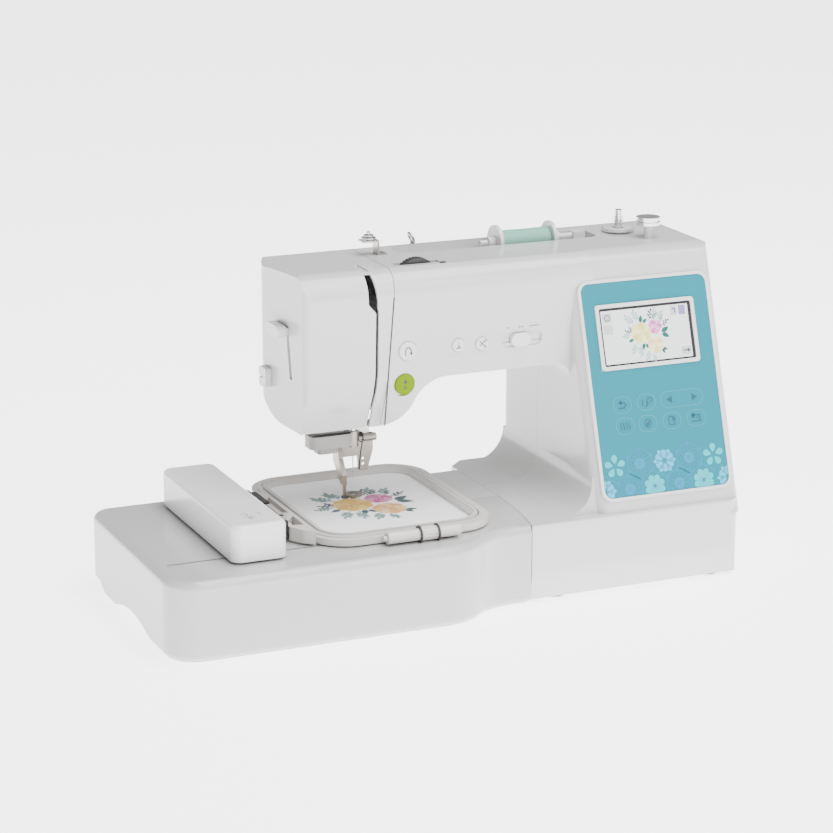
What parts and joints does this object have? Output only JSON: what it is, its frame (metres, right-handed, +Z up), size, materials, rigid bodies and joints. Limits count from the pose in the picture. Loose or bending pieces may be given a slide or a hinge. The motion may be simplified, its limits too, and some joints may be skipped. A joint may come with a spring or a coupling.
{
  "type": "embroidery machine",
  "caption": "Computerised sewing and embroidery machine with a side panel, an L-shaped embroidery unit, a moving carriage and a square hoop holding stitched fabric.",
  "frame": {"origin": "centre of the footprint on the table, at the underside of the rubber feet", "axes": "+X towards the handwheel, +Y to the rear, +Z up"},
  "size_m": [0.52, 0.22, 0.289],
  "materials": {
    "white_casing": "glossy",
    "white_trim": "glossy",
    "turquoise_overlay": "satin",
    "screen_glass": "glossy",
    "lime_plastic": "glossy",
    "dark_plastic": "satin",
    "grey_plastic": "satin",
    "warm_grey_plastic": "satin",
    "clear_plastic": "clear",
    "steel": "satin",
    "chrome": "polished",
    "cast_aluminium": "cast",
    "board_green": "satin",
    "belt_rubber": "matte",
    "foot_rubber": "matte",
    "white_fabric": "woven",
    "green_thread": "wound"
  },
  "bodies": {
    "machine": {"front_casing": "white_casing", "rear_casing": "white_casing", "face_cover": "white_casing", "base_pan": "white_casing", "rubber_feet": "foot_rubber", "casing_screws": "steel", "free_arm_cover": "white_casing", "needle_plate": "steel", "bobbin_cover": "clear_plastic", "chassis": "cast_aluminium", "operation_panel": "turquoise_overlay", "panel_frame": "white_trim", "touch_screen": "screen_glass", "control_board": "board_green", "main_motor": "steel", "drive_belts": "belt_rubber", "thread_guides": "steel", "spool_pin": "white_trim", "spool_caps": "white_trim", "winder_stop": "chrome", "power_inlet": "dark_plastic", "thread_cutter": "white_trim", "threader_guard": "grey_plastic", "bobbin_case": "dark_plastic", "unit_upper_cover": "white_casing", "unit_base": "white_casing", "x_motor": "steel"},
    "main_drive": {"handwheel": "white_trim", "main_shaft": "steel"},
    "lower_shaft": {"lower_shaft": "steel"},
    "rotary_hook": {"rotary_hook": "steel"},
    "bobbin": {"bobbin": "clear_plastic"},
    "motor_pulley": {"motor_pulley": "steel"},
    "feed_dog": {"feed_dog": "steel"},
    "take_up_lever": {"take_up_lever": "steel"},
    "needle_bar": {"needle_bar": "chrome", "needle_clamp": "steel", "needle": "chrome"},
    "presser": {"presser_bar": "steel", "embroidery_foot": "steel"},
    "presser_lever": {"presser_lever": "chrome"},
    "reverse_button": {"reverse_button": "white_trim"},
    "start_stop_button": {"start_stop_button": "lime_plastic"},
    "needle_position_button": {"needle_position_button": "white_trim"},
    "thread_cut_button": {"thread_cut_button": "white_trim"},
    "speed_slider": {"speed_slider": "white_trim"},
    "threader_lever": {"threader_lever": "white_trim"},
    "tension_dial": {"tension_dial": "dark_plastic"},
    "winder_shaft": {"winder_shaft": "white_trim"},
    "thread_spool": {"thread_spool": "green_thread"},
    "power_switch": {"power_switch": "dark_plastic"},
    "carriage": {"carriage_frame": "cast_aluminium", "carriage_cover": "white_casing"},
    "x_pulley": {"x_pulley": "steel"},
    "hoop": {"frame_holder": "dark_plastic", "hoop_outer_frame": "warm_grey_plastic", "hoop_inner_frame": "warm_grey_plastic", "fabric": "white_fabric"},
    "holder_lever": {"holder_lever": "grey_plastic"},
    "hoop_screw": {"hoop_screw": "warm_grey_plastic"}
  },
  "joints": [
    {"name": "handwheel_turn", "type": "hinge", "parent": "machine", "child": "main_drive", "pos_m": [0, 0.043, 0.212], "axis": [1, 0, 0], "continuous": true},
    {"name": "lower_shaft_turn", "type": "hinge", "parent": "machine", "child": "lower_shaft", "pos_m": [0, 0.043, 0.03], "axis": [1, 0, 0], "continuous": true},
    {"name": "hook_turn", "type": "hinge", "parent": "machine", "child": "rotary_hook", "pos_m": [-0.0524, 0.026, 0.05], "axis": [0, 0, 1], "continuous": true},
    {"name": "motor_turn", "type": "hinge", "parent": "machine", "child": "motor_pulley", "pos_m": [0.2, 0.082, 0.062], "axis": [1, 0, 0], "continuous": true},
    {"name": "bobbin_turn", "type": "hinge", "parent": "machine", "child": "bobbin", "pos_m": [-0.0524, 0.026, 0.05], "axis": [0, 0, 1], "continuous": true},
    {"name": "feed_dog_lift", "type": "slide", "parent": "machine", "child": "feed_dog", "axis": [0, 0, 1], "range_m": [0, 0.0033]},
    {"name": "take_up_swing", "type": "hinge", "parent": "machine", "child": "take_up_lever", "pos_m": [-0.0628, 0.016, 0.222], "axis": [1, 0, 0], "range_deg": [0, 48]},
    {"name": "needle_bar_slide", "type": "slide", "parent": "machine", "child": "needle_bar", "axis": [0, 0, 1], "range_m": [-0.031, 0], "deforming": ["fabric"]},
    {"name": "presser_lever_lift", "type": "hinge", "parent": "machine", "child": "presser_lever", "pos_m": [-0.036, 0.08, 0.171], "axis": [0, -1, 0], "range_deg": [0, 60]},
    {"name": "presser_bar_lift", "type": "slide", "parent": "machine", "child": "presser", "axis": [0, 0, 1], "range_m": [0, 0.00701]},
    {"name": "reverse_button_press", "type": "slide", "parent": "machine", "child": "reverse_button", "axis": [0, 1, 0], "range_m": [0, 0.001], "stiffness_N_per_m": 400, "springref_m": -0.002},
    {"name": "start_stop_button_press", "type": "slide", "parent": "machine", "child": "start_stop_button", "axis": [0, 1, 0], "range_m": [0, 0.001], "stiffness_N_per_m": 400, "springref_m": -0.002},
    {"name": "needle_position_button_press", "type": "slide", "parent": "machine", "child": "needle_position_button", "axis": [0, 1, 0], "range_m": [0, 0.001], "stiffness_N_per_m": 400, "springref_m": -0.002},
    {"name": "thread_cut_button_press", "type": "slide", "parent": "machine", "child": "thread_cut_button", "axis": [0, 1, 0], "range_m": [0, 0.001], "stiffness_N_per_m": 400, "springref_m": -0.002},
    {"name": "speed_slider_slide", "type": "slide", "parent": "machine", "child": "speed_slider", "axis": [1, 0, 0], "range_m": [-0.007, 0.011]},
    {"name": "threader_lever_slide", "type": "slide", "parent": "machine", "child": "threader_lever", "axis": [0, 0.1551, 0.9879], "range_m": [-0.034, 0], "stiffness_N_per_m": 60, "springref_m": 0.006},
    {"name": "tension_dial_turn", "type": "hinge", "parent": "machine", "child": "tension_dial", "pos_m": [-0.0135, 0.003, 0.256], "axis": [0, 1, 0], "range_deg": [-150, 150]},
    {"name": "winder_shaft_turn", "type": "hinge", "parent": "machine", "child": "winder_shaft", "pos_m": [0.1915, 0.05, 0.27], "axis": [0, 0, 1], "continuous": true},
    {"name": "thread_spool_turn", "type": "hinge", "parent": "machine", "child": "thread_spool", "pos_m": [0.1, 0.0545, 0.2685], "axis": [1, 0, 0], "continuous": true},
    {"name": "power_switch_rock", "type": "hinge", "parent": "machine", "child": "power_switch", "pos_m": [0.24, 0.052, 0.032], "axis": [0, 0, 1], "range_deg": [-5, 5]},
    {"name": "carriage_slide", "type": "slide", "parent": "machine", "child": "carriage", "axis": [1, 0, 0], "range_m": [-0.05, 0.05]},
    {"name": "x_pulley_turn", "type": "hinge", "parent": "machine", "child": "x_pulley", "pos_m": [-0.084, -0.014, 0.04], "axis": [0, 1, 0], "range_deg": [-490, 490]},
    {"name": "hoop_slide", "type": "slide", "parent": "carriage", "child": "hoop", "axis": [0, 1, 0], "range_m": [-0.0205, 0.0795]},
    {"name": "holder_lever_turn", "type": "hinge", "parent": "hoop", "child": "holder_lever", "pos_m": [-0.146, -0.038, 0.086], "axis": [0, 0, 1], "range_deg": [-25, 0]},
    {"name": "hoop_screw_turn", "type": "hinge", "parent": "hoop", "child": "hoop_screw", "pos_m": [-0.041, -0.084, 0.0732], "axis": [1, 0, 0], "continuous": true}
  ],
  "couplings": [
    {"joint": "lower_shaft_turn", "follows": "handwheel_turn", "ratio": 1},
    {"joint": "hook_turn", "follows": "handwheel_turn", "ratio": 2},
    {"joint": "motor_turn", "follows": "handwheel_turn", "ratio": 3},
    {"joint": "presser_bar_lift", "follows": "presser_lever_lift", "m_per_rad": 0.006684},
    {"joint": "x_pulley_turn", "follows": "carriage_slide", "rad_per_m": 165.29}
  ]
}
